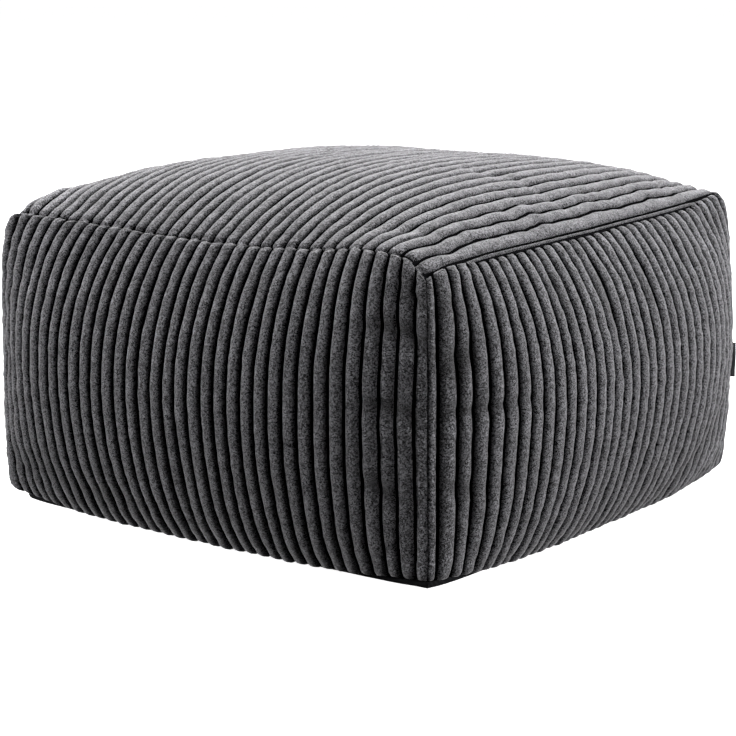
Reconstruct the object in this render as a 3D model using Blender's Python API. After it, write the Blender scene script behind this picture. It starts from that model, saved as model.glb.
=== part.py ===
"""Square filled footstool: a ribbed corduroy cover, a plain cloth base panel and a folded label.

Metres, +Z up.  The origin is on the floor under the middle of the base.  The cover has a front
panel facing -Y, a right panel facing +X, a back and a left panel, and a top panel whose ribs run
from front to back.  The filling swells every panel out of its straight seams.
"""
from collections import namedtuple

import bmesh
import bpy
import numpy as np

# Plan and height of the seams
HALF_SEAM = 0.220        # from the middle of the plan to the corner seams, at the top
TOP_SEAM = 0.248         # height of the top seam, before its corners lift and its stitches pull
EAR_POWER = 1.25         # how late along a seam its lift towards a corner starts
TUCK_POWER = 4.0         # and how late the corner's own tuck pulls it down again
SPREAD_POWER = 4.0       # how soon above the floor the corner seams draw in from their spread
# Signs of x and y, then the top seam's lift and tuck there, and the corner's spread at the floor
Corner = namedtuple("Corner", "x y ear tuck spread")
CORNERS = (
    Corner(-1, -1, 0.015, 0.0085, 0.005),
    Corner(1, -1, 0.002, 0.0, 0.013),
    Corner(1, 1, 0.014, 0.0, 0.006),
    Corner(-1, 1, 0.014, 0.0040, 0.002),
)

# Where the filling pushes the top seam up, or a stitch pulls it down: signed shares of the half
# width across and along, how far that reaches, and the lift
Pull = namedtuple("Pull", "across along reach_across reach_along lift")
PULLS = (
    Pull(0.74, -1.0, 0.26, 0.14, 0.0055),
    Pull(-0.60, -1.0, 0.45, 0.14, -0.0025),
    Pull(1.0, -1.0, 0.09, 0.26, -0.0050),
    Pull(1.0, -1.0, 0.07, 0.07, -0.0060),
    Pull(1.0, 0.08, 0.12, 0.48, 0.0042),
)

# How the filling swells the panels
CROWN = 0.051            # rise of the top panel's middle over its seams
CROWN_ACROSS = ((2.2, 0.40), (3.8, 0.97))   # power and root of its fall to the left and right seams
CROWN_ALONG = ((2.65, 0.88), (1.8, 0.38))   # and to the front and back seams
CORNER_SWELL = 0.0095    # how far the corner seams lean out at half height
CORNER_UPPER = (3.2, 0.35)   # a corner seam's lean over half height, as a power and a root
CORNER_LOWER = (2.2, 0.50)   # and under it
BOW_POWER = 4.0          # a side panel is broad and flat in the middle and turns near its seams
UPPER_SHAPE = (2.3, 1.0)     # a side panel's section from its widest height to the top seam
LOWER_SHAPE = (1.55, 0.60)   # and down to the bottom seam, where it rolls under

# Corduroy ribs
RIBS = 35                # rib widths across a panel
LEAST_RIB = 0.5          # share of a width under which a panel's last rib joins its neighbour
TOP_FIRST_RIB = 0.8      # width of the top panel's first rib at its left seam, in rib widths
RIB_RISE = 0.0042        # a rib's crown over the valleys beside it
RIB_SECTION = (          # share of the rib's width, share of its rise
    (0.00, 0.0),
    (0.24, 1.0),
    (0.76, 1.0),
)

# Side panels: outward direction, bulge in the middle, and the width of the first rib, in rib
# widths, at the corner seam on the panel's left as seen from outside
Side = namedtuple("Side", "name facing bulge first_rib")
SIDES = (
    Side("front", (0, -1), 0.0402, 1.0),
    Side("right", (1, 0), 0.0445, 0.4),
    Side("back", (0, 1), 0.0402, 1.0),
    Side("left", (-1, 0), 0.0450, 0.4),
)
SIDE_ROWS = (            # share of the height between the seams, share of the ribs' rise
    (0.000, 0.0),
    (0.035, 0.8),
    (0.120, 1.0),
    (0.280, 1.0),
    (0.470, 1.0),
    (0.660, 1.0),
    (0.830, 1.0),
    (0.960, 0.8),
    (1.000, 0.0),
)
TOP_ROWS = (             # share of the half width from the middle to the front or back seam
    (0.000, 1.0),
    (0.340, 1.0),
    (0.620, 1.0),
    (0.810, 1.0),
    (0.920, 1.0),
    (0.975, 1.0),
    (0.995, 0.8),
    (1.000, 0.0),
)

# Base panel, and the cover's underside just over it
CLOTH = 0.002            # thickness of the base cloth
GAP = 0.0003             # between pieces that touch
EDGE_LIFT = (            # share of the half side from its middle, lift of the base's edge there
    (0.00, 0.0006),
    (0.50, 0.0012),
    (0.80, 0.0045),
    (1.00, 0.0066),
)
RIM = (                  # distance in from the base's edge, share of the edge's lift
    (0.000, 1.00),
    (0.003, 1.00),
    (0.008, 0.45),
    (0.015, 0.12),
    (0.024, 0.00),
)

# Folded label in the corner seam between the right and the back panel
LABEL_HEIGHT = 0.032
LABEL_REACH = 0.0115     # from its seam to its fold
LABEL_LAYER = 0.0008     # thickness of one layer
LABEL_SLIT = 0.0004      # between the two layers
LABEL_MIDDLE = 0.110     # height of its middle over the floor
LABEL_SEAT = 0.0026      # from the seam's line to the label's sewn end, between the ribs
FOLD_STEPS = 6

SURVEY = np.linspace(-1.0, 1.0, 241)    # where a curve is measured to space the ribs along it


def swell(share, shape):
    """How much of a bulge is left at a share 0 to 1 of the way from its middle to its seam."""
    power, root = shape
    return (1.0 - np.abs(share) ** power) ** root


def crown_share(share, shapes):
    """How much of the crown is left at a signed share, with one shape on each side of 0."""
    low, high = shapes
    return np.where(share < 0.0, swell(share, low), swell(share, high))


def height_swell(height, lower, upper):
    """How much of a bulge is left at a share of the height between the seams."""
    return swell(2.0 * height - 1.0, lower if height < 0.5 else upper)


def corner_lift(across, along):
    """Lift of the top seam, and of the top panel with it, at signed shares of the half widths."""
    lift = np.zeros(np.broadcast(across, along).shape)
    for corner in CORNERS:
        near = np.clip(across * corner.x, 0, 1) * np.clip(along * corner.y, 0, 1)
        lift = lift + corner.ear * near ** EAR_POWER - corner.tuck * near ** TUCK_POWER
    for pull in PULLS:
        across_away = (across - pull.across) / pull.reach_across
        along_away = (along - pull.along) / pull.reach_along
        lift = lift + pull.lift * np.exp(-(across_away ** 2) - along_away ** 2)
    return lift


def frame_reach(across, along, height):
    """Size of the frame of seams at signed shares of the half widths and a share of the height."""
    spread = sum(
        corner.spread * (1.0 + across * corner.x) * (1.0 + along * corner.y) / 4.0
        for corner in CORNERS
    )
    lean = CORNER_SWELL * height_swell(height, CORNER_LOWER, CORNER_UPPER)
    return HALF_SEAM + lean + spread * (1.0 - height) ** SPREAD_POWER


def edge_lift(share):
    """Lift of the base panel's edge at a signed share of the half side."""
    stations, lifts = np.array(EDGE_LIFT).T
    return np.interp(np.abs(share), stations, lifts)


def rib_columns(first):
    """Shares of a panel's width where its ribs' sections have points, and the rise at each."""
    edges = [0.0] + list(np.arange(first, RIBS - LEAST_RIB, 1.0)) + [float(RIBS)]
    shares = []
    rises = []
    for left, right in zip(edges[:-1], edges[1:]):
        for across, rise in RIB_SECTION:
            shares.append((left + (right - left) * across) / RIBS)
            rises.append(rise)
    return np.array(shares + [1.0]), np.array(rises + [0.0])


def spaced(shares, *curve):
    """SURVEY values at shares of the length of the curve whose coordinates are given."""
    steps = np.sqrt(sum(np.diff(values) ** 2 for values in curve))
    length = np.concatenate([[0.0], np.cumsum(steps)])
    return np.interp(shares, length / length[-1], SURVEY)


def raised(grid, rises):
    """The grid's points moved out along its normals by rises, both as rows of columns."""
    along_row = np.gradient(grid, axis=1)
    along_column = np.gradient(grid, axis=0)
    normal = np.cross(along_row, along_column)
    normal /= np.linalg.norm(normal, axis=2, keepdims=True)
    return grid + normal * rises[:, :, None]


def side_grid(side):
    """Points of a side panel, bottom row first, from its left to its right corner seam."""
    shares, rises = rib_columns(side.first_rib)
    facing = np.array(side.facing, dtype=float)
    along = np.array([-facing[1], facing[0]])
    rows = []
    for height, _ in SIDE_ROWS:
        depth = side.bulge * height_swell(height, LOWER_SHAPE, UPPER_SHAPE)
        survey_half = frame_reach(*(np.outer(along, SURVEY) + facing[:, None]), height)
        survey_bow = depth * swell(SURVEY, (BOW_POWER, 1.0))
        share = spaced(shares, SURVEY * survey_half, survey_half + survey_bow)
        bow = depth * swell(share, (BOW_POWER, 1.0))
        square = np.outer(share, along) + facing
        half = frame_reach(square[:, 0], square[:, 1], height)
        plan = square * half[:, None] + np.outer(bow, facing)
        low = edge_lift(share) + CLOTH + GAP
        high = TOP_SEAM + corner_lift(square[:, 0], square[:, 1])
        rows.append(np.column_stack([plan, low + (high - low) * height]))
    row_rise = np.array([rise for _, rise in SIDE_ROWS])
    return raised(np.array(rows), RIB_RISE * np.outer(row_rise, rises))


def top_grid():
    """Points of the top panel, front row first, from the left to the right seam."""
    shares, rises = rib_columns(TOP_FIRST_RIB)
    mirrored = [(-share, rise) for share, rise in reversed(TOP_ROWS[1:])]
    rows = []
    for along, _ in mirrored + list(TOP_ROWS):
        height = CROWN * crown_share(along, CROWN_ALONG)
        across = spaced(shares, SURVEY * HALF_SEAM, height * crown_share(SURVEY, CROWN_ACROSS))
        z = TOP_SEAM + height * crown_share(across, CROWN_ACROSS) + corner_lift(across, along)
        y = np.full_like(z, along * HALF_SEAM)
        rows.append(np.column_stack([across * HALF_SEAM, y, z]))
    row_rise = np.array([rise for _, rise in mirrored + list(TOP_ROWS)])
    return raised(np.array(rows), RIB_RISE * np.outer(row_rise, rises))


def base_rings(raise_by):
    """Rings of points over or under the base cloth, from its edge inwards, six to a side."""
    half_stations = [station for station, _ in EDGE_LIFT]
    stations = [-station for station in reversed(half_stations[1:])] + half_stations[:-1]
    rings = []
    for inset, share in RIM:
        ring = []
        for side in SIDES:
            for station in stations:
                x = side.facing[0] - side.facing[1] * station
                y = side.facing[1] + side.facing[0] * station
                half = frame_reach(x, y, 0.0) - inset
                ring.append((half * x, half * y, edge_lift(station) * share + raise_by))
        rings.append(ring)
    return rings, stations


class Surface:
    """Vertices and faces of one closed piece."""

    def __init__(self):
        self.points = []
        self.faces = []

    def add(self, points):
        """Add points and give their numbers."""
        first = len(self.points)
        self.points.extend(tuple(float(value) for value in point) for point in points)
        return list(range(first, len(self.points)))

    def band(self, lower, upper):
        """Quads between two closed rings of as many points."""
        for here in range(len(lower)):
            after = (here + 1) % len(lower)
            self.faces.append((lower[here], lower[after], upper[after], upper[here]))

    def strip(self, lower, upper):
        """Quads between two open rows of as many points."""
        for here in range(len(lower) - 1):
            self.faces.append((lower[here], lower[here + 1], upper[here + 1], upper[here]))

    def lace(self, many, few, many_at, few_at):
        """Triangles between two open rows of unlike counts, whose shares along them are given."""
        i = 0
        j = 0
        done = np.inf
        while i < len(many) - 1 or j < len(few) - 1:
            next_many = many_at[i + 1] if i < len(many) - 1 else done
            next_few = few_at[j + 1] if j < len(few) - 1 else done
            if next_many <= next_few:
                self.faces.append((many[i], many[i + 1], few[j]))
                i += 1
            else:
                self.faces.append((many[i], few[j + 1], few[j]))
                j += 1

    def fan(self, ring, middle):
        """Triangles from a closed ring to a middle point."""
        centre = self.add([middle])[0]
        for here in range(len(ring)):
            self.faces.append((ring[here], ring[(here + 1) % len(ring)], centre))

    def build(self, name, material):
        """Make the object, with every face pointing out."""
        mesh = bpy.data.meshes.new(name)
        mesh.from_pydata(self.points, [], self.faces)
        shape = bmesh.new()
        shape.from_mesh(mesh)
        bmesh.ops.recalc_face_normals(shape, faces=shape.faces)
        shape.to_mesh(mesh)
        shape.free()
        mesh.shade_smooth()
        mesh.materials.append(material)
        piece = bpy.data.objects.new(name, mesh)
        bpy.context.scene.collection.objects.link(piece)
        return piece


def cloth_material(name, colour, roughness):
    """A plain cloth finish."""
    material = bpy.data.materials.new(name)
    material.use_nodes = True
    shader = material.node_tree.nodes["Principled BSDF"]
    shader.inputs["Base Color"].default_value = (*colour, 1.0)
    shader.inputs["Roughness"].default_value = roughness
    shader.inputs["Metallic"].default_value = 0.0
    return material


def build_cover(material):
    """The five corduroy panels round the filling, as one solid."""
    cover = Surface()
    grids = [side_grid(side) for side in SIDES]
    loops = []
    for row in range(len(SIDE_ROWS)):
        points = [point for grid in grids for point in grid[row][:-1]]
        loops.append(cover.add(points))
    for lower, upper in zip(loops[:-1], loops[1:]):
        cover.band(lower, upper)

    # Numbers of each side's points in the top and the bottom loop, with both corner seams
    spans = []
    start = 0
    for grid in grids:
        count = grid.shape[1]
        spans.append([(start + step) % len(loops[0]) for step in range(count)])
        start += count - 1
    front, right, back, left = [[loops[-1][place] for place in span] for span in spans]

    top = top_grid()
    inner = [cover.add(row[1:-1]) for row in top[1:-1]]
    rows = [front[1:-1]] + inner + [back[-2:0:-1]]
    for lower, upper in zip(rows[:-1], rows[1:]):
        cover.strip(lower, upper)
    rows_at = (top[:, 0, 1] / HALF_SEAM + 1.0) / 2.0
    left_edge = [row[0] for row in rows]
    right_edge = [row[-1] for row in rows]
    shares_at = [rib_columns(side.first_rib)[0] for side in SIDES]
    cover.lace(right, right_edge, shares_at[1], rows_at)
    cover.lace(left[::-1], left_edge, 1.0 - shares_at[3][::-1], rows_at)

    rings, stations = base_rings(CLOTH + GAP)
    under = [cover.add(ring) for ring in rings[1:]]
    few_at = (np.array(stations + [1.0]) + 1.0) / 2.0
    per_side = len(stations)
    for number, (span, many_at) in enumerate(zip(spans, shares_at)):
        many = [loops[0][place] for place in span]
        places = [(number * per_side + step) % len(under[0]) for step in range(per_side + 1)]
        cover.lace(many, [under[0][place] for place in places], many_at, few_at)
    for outer, inward in zip(under[:-1], under[1:]):
        cover.band(outer, inward)
    cover.fan(under[-1], (0.0, 0.0, CLOTH + GAP))
    return cover.build("filled_cover", material)


def build_base(material):
    """The plain cloth under the cover, flat on the floor and turned up a little at its edge."""
    base = Surface()
    lower = [base.add(ring) for ring in base_rings(0.0)[0]]
    upper = [base.add(ring) for ring in base_rings(CLOTH)[0]]
    for rings in (lower, upper):
        for outer, inward in zip(rings[:-1], rings[1:]):
            base.band(outer, inward)
    base.band(lower[0], upper[0])
    base.fan(lower[-1], (0.0, 0.0, 0.0))
    base.fan(upper[-1], (0.0, 0.0, CLOTH))
    return base.build("base_panel", material)


def label_outline():
    """Plan of the folded label: distance from its sewn end, distance from its middle plane."""
    inner = LABEL_SLIT / 2.0
    outer = inner + LABEL_LAYER
    straight = LABEL_REACH - LABEL_SEAT - outer
    turns = np.linspace(-np.pi / 2.0, np.pi / 2.0, FOLD_STEPS + 1)
    outside = [(0.0, -outer)] + [
        (straight + outer * np.cos(turn), outer * np.sin(turn)) for turn in turns
    ] + [(0.0, outer)]
    inside = [(0.0, inner)] + [
        (straight + inner * np.cos(turn), inner * np.sin(turn)) for turn in turns[::-1]
    ] + [(0.0, -inner)]
    return outside + inside


def build_label(material):
    """The tab sewn into the corner seam between the right and the back panel."""
    height = (LABEL_MIDDLE - CLOTH) / (TOP_SEAM - CLOTH)
    seam = frame_reach(1.0, 1.0, height)
    out = np.array([1.0, 1.0]) / np.sqrt(2.0)
    aside = np.array([-out[1], out[0]])
    root = np.array([seam, seam]) + out * LABEL_SEAT
    plan = [root + out * reach + aside * offset for reach, offset in label_outline()]
    label = Surface()
    ends = []
    for z in (LABEL_MIDDLE - LABEL_HEIGHT / 2.0, LABEL_MIDDLE + LABEL_HEIGHT / 2.0):
        ends.append(label.add([(x, y, z) for x, y in plan]))
    label.band(ends[0], ends[1])
    label.faces.append(tuple(ends[0]))
    label.faces.append(tuple(ends[1]))
    return label.build("side_label", material)


def main():
    for piece in list(bpy.data.objects):
        bpy.data.objects.remove(piece, do_unlink=True)
    corduroy = cloth_material("corduroy", (0.075, 0.075, 0.08), 0.95)
    base_cloth = cloth_material("base_cloth", (0.012, 0.012, 0.013), 0.85)
    label_cloth = cloth_material("label_cloth", (0.010, 0.010, 0.011), 0.7)
    build_cover(corduroy)
    build_base(base_cloth)
    build_label(label_cloth)


main()
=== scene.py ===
# %% [markdown]
# # A square corduroy footstool
#
# The footstool is a filled cover of wide-rib corduroy: a top panel, four side panels, a plain
# black base and a folded black label in one corner seam. This lesson dresses the plain solid of
# that part. Each panel is made as its own mesh, because that is how the cover is cut and sewn.
# One subdivided cube would have been quicker, but its ribs could not end at the seams.

# %% Load the plain part
import math

import bpy
import bmesh
import numpy as np
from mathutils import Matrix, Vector


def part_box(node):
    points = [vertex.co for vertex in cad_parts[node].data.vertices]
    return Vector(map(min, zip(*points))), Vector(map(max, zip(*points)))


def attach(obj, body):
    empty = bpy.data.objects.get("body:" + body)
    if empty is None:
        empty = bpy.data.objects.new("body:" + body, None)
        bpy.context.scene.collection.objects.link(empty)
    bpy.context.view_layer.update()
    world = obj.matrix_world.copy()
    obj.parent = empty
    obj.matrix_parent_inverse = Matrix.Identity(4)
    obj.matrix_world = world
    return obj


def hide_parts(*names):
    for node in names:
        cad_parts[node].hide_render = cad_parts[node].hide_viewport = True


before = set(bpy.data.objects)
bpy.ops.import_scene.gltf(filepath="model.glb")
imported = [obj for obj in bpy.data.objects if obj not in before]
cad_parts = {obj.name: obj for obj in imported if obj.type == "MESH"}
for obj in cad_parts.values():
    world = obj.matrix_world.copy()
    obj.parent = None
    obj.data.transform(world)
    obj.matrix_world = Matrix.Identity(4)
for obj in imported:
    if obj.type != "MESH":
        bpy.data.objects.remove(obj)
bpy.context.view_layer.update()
print("nodes:", sorted(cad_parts))

# %% [markdown]
# ## Sizes taken from the part
#
# Everything is measured from the plain solids, so the cloth lands where they are. The lowest point
# of the cover is its line of cloth over the base, and its highest gives the height of the crown.

# %% Sizes from the part
cover_low, cover_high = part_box("filled_cover")
label_low, label_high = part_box("side_label")
FULL_HEIGHT = cover_high[2]
CLOTH_LINE = cover_low[2]
MM = 0.001
ROOT_2 = math.sqrt(2.0)
print(f"height {FULL_HEIGHT:.3f} m, cover starts at {CLOTH_LINE:.4f} m")

# %% [markdown]
# ## The camera
#
# The picture is a long-lens product shot from a little above one corner. The lens and the angles
# come from matching the lines of the ribs, so the camera is placed by two angles and a distance,
# not by eye.

# %% Camera
LENS = 106.3                    # mm
SENSOR = 36.0                   # mm
CAMERA_TURN = 37.3              # degrees round the object from its front panel
CAMERA_RISE = 11.25             # degrees over the horizon
CAMERA_AWAY = 1.955
AIM = Vector((-0.0023, -0.0050, 0.1111))


def outward(turn, rise):
    """A direction, by degrees round from the front panel's and degrees over the horizon."""
    turn, rise = math.radians(turn), math.radians(rise)
    level = math.cos(rise)
    return Vector((math.sin(turn) * level, -math.cos(turn) * level, math.sin(rise)))


def add_camera():
    back = outward(CAMERA_TURN, CAMERA_RISE)
    lens = bpy.data.cameras.new("camera")
    lens.lens = LENS
    lens.sensor_width = SENSOR
    camera = bpy.data.objects.new("camera", lens)
    camera.location = AIM + back * CAMERA_AWAY
    camera.rotation_euler = (-back).to_track_quat("-Z", "Y").to_euler()
    bpy.context.scene.collection.objects.link(camera)
    bpy.context.scene.camera = camera
    return camera


camera = add_camera()
print("camera at", [round(value, 3) for value in camera.location])

# %% [markdown]
# ## How the filling swells the cover
#
# Between two straight seams, a filled panel swells most in its middle and draws in at its edges.
# A curve with a power and a root does this: the power says how flat the middle is, and the root
# how steeply the cloth leaves its seam. The same curve serves the sides, the corners and the top.

# %% Sizes of the seams and of the swelling
HALF_SEAM = 0.220               # from the middle of the plan to the corner seams at the top
TOP_SEAM = 0.248                # height of the top seam where nothing lifts or pulls it
CORNERS = (
    # signs of x and y, lift and tuck of the top seam there, spread of the corner at the floor
    (-1, -1, 0.015, 0.0085, 0.005),
    (1, -1, 0.002, 0.0, 0.013),
    (1, 1, 0.014, 0.0, 0.006),
    (-1, 1, 0.014, 0.0040, 0.002),
)
PULLS = (
    # where the filling pushes the top seam up or a stitch pulls it down: signed shares of the half
    # width across and along, reach across and along, lift
    (0.74, -1.0, 0.26, 0.14, 0.0055),
    (-0.60, -1.0, 0.45, 0.14, -0.0025),
    (1.0, -1.0, 0.09, 0.26, -0.0050),
    (1.0, -1.0, 0.07, 0.07, -0.0060),
    (1.0, 0.08, 0.12, 0.48, 0.0042),
)
EAR_POWER = 1.25                # how soon a corner's lift fades along its seams
TUCK_POWER = 4.0                # and its tuck
SPREAD_POWER = 4.0              # how close to the floor the corners spread
CORNER_SWELL = 0.0095           # how far the corner seams lean out at half height
CORNER_UPPER = (3.2, 0.35)      # power and root of that lean over half height
CORNER_LOWER = (2.2, 0.50)      # and under it
BOW_POWER = 4.0                 # how square the level rows of a side panel are
UPPER_SHAPE = (2.3, 1.0)        # power and root of a side's bulge over half height
LOWER_SHAPE = (1.55, 0.60)      # and under it
CROWN_ACROSS = ((2.2, 0.40), (3.8, 0.97))       # towards the left and the right seam
CROWN_ALONG = ((2.65, 0.88), (1.8, 0.38))       # towards the front and the back seam
SLIDE = np.array([-0.0031, -0.0024])            # how far the near corner's seam is drawn aside
SLIDE_ASIDE = 0.0065            # reach of that slide to both sides
SLIDE_INWARD = 0.016            # and towards the middle
# share of the half side from its middle, lift of the cover's lower edge there
EDGE_LIFT = ((0.0, 0.50, 0.80, 1.0), (0.0006, 0.0012, 0.0045, 0.0066))
SURVEY = np.linspace(-1.0, 1.0, 241)            # places at which the length of a row is measured
print(len(CORNERS), "corners and", len(PULLS), "pulls on the top seam")

# %% The swelling curves
def swell(share, shape):
    power, root = shape
    return np.clip(1.0 - np.abs(share) ** power, 0.0, 1.0) ** root


def crown_share(share, shapes):
    low, high = shapes
    return np.where(share < 0.0, swell(share, low), swell(share, high))


def height_swell(height, lower, upper):
    return swell(2.0 * height - 1.0, lower if height < 0.5 else upper)


kept = swell(np.array([0, 0.5, 0.8, 0.95]), UPPER_SHAPE)
print("a side keeps", kept.round(2), "of its bulge")

# %% Where the seams run
def corner_lift(across, along):
    """How much higher the cloth at the top seam lies, at signed shares of the half width."""
    lift = np.zeros(np.broadcast(across, along).shape)
    for x, y, ear, tuck, _ in CORNERS:
        near = np.clip(across * x, 0, 1) * np.clip(along * y, 0, 1)
        lift = lift + ear * near ** EAR_POWER - tuck * near ** TUCK_POWER
    for at_across, at_along, reach_across, reach_along, pull in PULLS:
        away = ((across - at_across) / reach_across) ** 2 + ((along - at_along) / reach_along) ** 2
        lift = lift + pull * np.exp(-away)
    return lift


def frame_reach(across, along, height):
    """Size of the frame of seams at signed shares of the half widths and a share of the height."""
    spread = sum(
        wide * (1.0 + across * x) * (1.0 + along * y) / 4.0 for x, y, _, _, wide in CORNERS
    )
    lean = CORNER_SWELL * height_swell(height, CORNER_LOWER, CORNER_UPPER)
    return HALF_SEAM + lean + spread * (1.0 - height) ** SPREAD_POWER


def spaced(shares, *curve):
    """Places from -1 to 1 that lie at shares of the length of a curve."""
    steps = np.sqrt(sum(np.diff(values) ** 2 for values in curve))
    length = np.concatenate([[0.0], np.cumsum(steps)])
    return np.interp(shares, length / length[-1], SURVEY)


print("the near corner of the top seam moves by", np.round(corner_lift(1.0, -1.0) / MM, 1), "mm")

# %% [markdown]
# ## The smooth form of each panel
#
# First the panels are made without ribs. A side panel is a set of level rows, each bowed out from
# its two corner seams. The ribs have equal widths of cloth, so their places are spaced along the
# length of the bowed row and not along the straight line between the seams. The near corner's seam
# is drawn aside a little, so its cloth slides with it.

# %% Smooth form of a side panel
SIDES = {                       # outward direction, bulge, width of the first rib in rib widths
    "front": ((0, -1), 0.0402, 1.0),
    "right": ((1, 0), 0.0445, 0.4),
    "back": ((0, 1), 0.0402, 1.0),
    "left": ((-1, 0), 0.0450, 0.4),
}


def side_form(name, across, up):
    """Points of a side panel at shares of its width and height; across may differ in each row."""
    facing, bulge, _ = SIDES[name]
    facing = np.array(facing, dtype=float)
    along = np.array([-facing[1], facing[0]])
    rows = []
    for shares, height in zip(across, up):
        depth = bulge * height_swell(height, LOWER_SHAPE, UPPER_SHAPE)
        half = frame_reach(*(np.outer(along, SURVEY) + facing[:, None]), height)
        place = spaced(shares, SURVEY * half, half + depth * swell(SURVEY, (BOW_POWER, 1.0)))
        bow = depth * swell(place, (BOW_POWER, 1.0))
        square = np.outer(place, along) + facing
        half = frame_reach(square[:, 0], square[:, 1], height)
        plan = square * half[:, None] + np.outer(bow, facing)
        low = CLOTH_LINE + np.interp(np.abs(place), *EDGE_LIFT)
        high = TOP_SEAM + corner_lift(square[:, 0], square[:, 1])
        rows.append(np.column_stack([plan, low + (high - low) * height]))
    return np.array(rows)


print("the sides bulge by", [round(bulge / MM, 1) for _, bulge, _ in SIDES.values()], "mm")

# %% Smooth form of the top panel
RIBS_OVER = 0.0042              # how far the ribs stand over the smooth form
CROWN = FULL_HEIGHT - TOP_SEAM - RIBS_OVER


def top_form(across, up):
    """Points of the top panel at shares of its width and of its length from front to back."""
    height = CROWN * crown_share(SURVEY, CROWN_ALONG)
    rows = []
    for shares, place in zip(across, spaced(up, SURVEY * HALF_SEAM, height)):
        height = CROWN * crown_share(place, CROWN_ALONG)
        x = spaced(shares, SURVEY * HALF_SEAM, height * crown_share(SURVEY, CROWN_ACROSS))
        z = TOP_SEAM + height * crown_share(x, CROWN_ACROSS) + corner_lift(x, place)
        rows.append(np.column_stack([x * HALF_SEAM, np.full_like(x, place * HALF_SEAM), z]))
    return np.array(rows)


print("crown", round(CROWN, 4))

# %% Any panel's smooth form
PANELS = ["top"] + list(SIDES)


def slid(grid):
    """The near corner's seam, drawn aside together with the cloth next to it."""
    x, y = grid[:, :, 0], grid[:, :, 1]
    beside = (x + y) / ROOT_2
    inside = np.clip(ROOT_2 * HALF_SEAM - (x - y) / ROOT_2, 0.0, None)
    share = np.exp(-((beside / SLIDE_ASIDE) ** 2) - (inside / SLIDE_INWARD) ** 2)
    moved = grid.copy()
    moved[:, :, :2] += share[:, :, None] * SLIDE
    return moved


def smooth_form(name, across, up):
    return slid(top_form(across, up) if name == "top" else side_form(name, across, up))


def surface_normals(grid):
    normal = np.cross(np.gradient(grid, axis=1), np.gradient(grid, axis=0))
    return normal / np.linalg.norm(normal, axis=2, keepdims=True)


print("panels:", PANELS)

# %% [markdown]
# ## Reading a rough field smoothly
#
# Waves and unevenness are worked out on a few points and read at many. Straight lines between the
# few points would show as facets under a low light, so the reading follows a curve through them.

# %% Smooth reading
def between(values, places):
    """Values of evenly spaced rows, read at shares 0 to 1 on a curve through them."""
    last = len(values) - 1
    spot = np.clip(np.asarray(places) * last, 0.0, last - 1e-9)
    low = spot.astype(int)
    part = (spot - low).reshape((-1,) + (1,) * (values.ndim - 1))
    a, b, c, d = (values[np.clip(low + shift, 0, last)] for shift in (-1, 0, 1, 2))
    bend = 2.0 * a - 5.0 * b + 4.0 * c - d + part * (3.0 * (b - c) + d - a)
    return b + 0.5 * part * (c - a + part * bend)


def read_field(field, up, across):
    return between(between(field, up).T, across).T


def unevenness(up, across, cells_up, cells_across, seed):
    """A smooth random field from about -1 to 1 with so many cells each way."""
    cells = np.random.default_rng(seed).uniform(-1.0, 1.0, (cells_up + 1, cells_across + 1))
    return read_field(cells, up, across)


sample = unevenness(np.linspace(0, 1, 9), np.linspace(0, 1, 9), 3, 3, 1)
print("a field of 3 x 3 cells spans", np.ptp(sample).round(2))

# %% [markdown]
# ## Waves that the filling pushes out
#
# Loose filling presses unevenly, and the seams hold the cloth back, so every panel has shallow
# waves that run in from its seams. Blender's cloth simulation finds them: a coarse copy of each
# panel is pinned along its seams, cut a little too large and blown out. Its broad swelling is
# dropped, because the smooth form has it already, and only the waves are kept.

# %% Coarse grids of cloth
CLOTH_ROWS = {"top": 58}
SIDE_CLOTH_ROWS = 36
CLOTH_COLUMNS = 58


def softened(field, rounds):
    for _ in range(rounds):
        for axis in (0, 1):
            padded = np.pad(field, [(1, 1) if axis == k else (0, 0) for k in (0, 1)], mode="edge")
            count = field.shape[axis]
            ahead, behind = (np.take(padded, range(k, k + count), axis) for k in (2, 0))
            field = 0.5 * field + 0.25 * (ahead + behind)
    return field


def cloth_grid(name):
    up = np.linspace(0.0, 1.0, CLOTH_ROWS.get(name, SIDE_CLOTH_ROWS))
    across = np.tile(np.linspace(0.0, 1.0, CLOTH_COLUMNS), (len(up), 1))
    return smooth_form(name, across, up)


def mesh_of_grid(name, grid):
    rows, columns = grid.shape[:2]
    place = np.arange(rows * columns).reshape(rows, columns)
    quads = np.stack([place[:-1, :-1], place[:-1, 1:], place[1:, 1:], place[1:, :-1]], axis=-1)
    mesh = bpy.data.meshes.new(name)
    mesh.from_pydata(grid.reshape(-1, 3).tolist(), [], quads.reshape(-1, 4).tolist())
    return mesh


print("cloth for the top has", CLOTH_ROWS["top"], "x", CLOTH_COLUMNS, "points")

# %% Simulated waves
EASE = 0.035                    # how much larger the cloth is cut than its frame of seams
PRESSURE = 4.0
CLOTH_MASS = 0.3                # kg for each point of cloth
CLOTH_STEPS = 6
FRAMES = 22
BROAD = 40                      # rounds of softening that leave the broad swelling alone
WAVE_SHARE = 0.22               # of a wave that is kept, since ribbed cloth is stiff
MOST_WAVE = 0.0014


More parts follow.
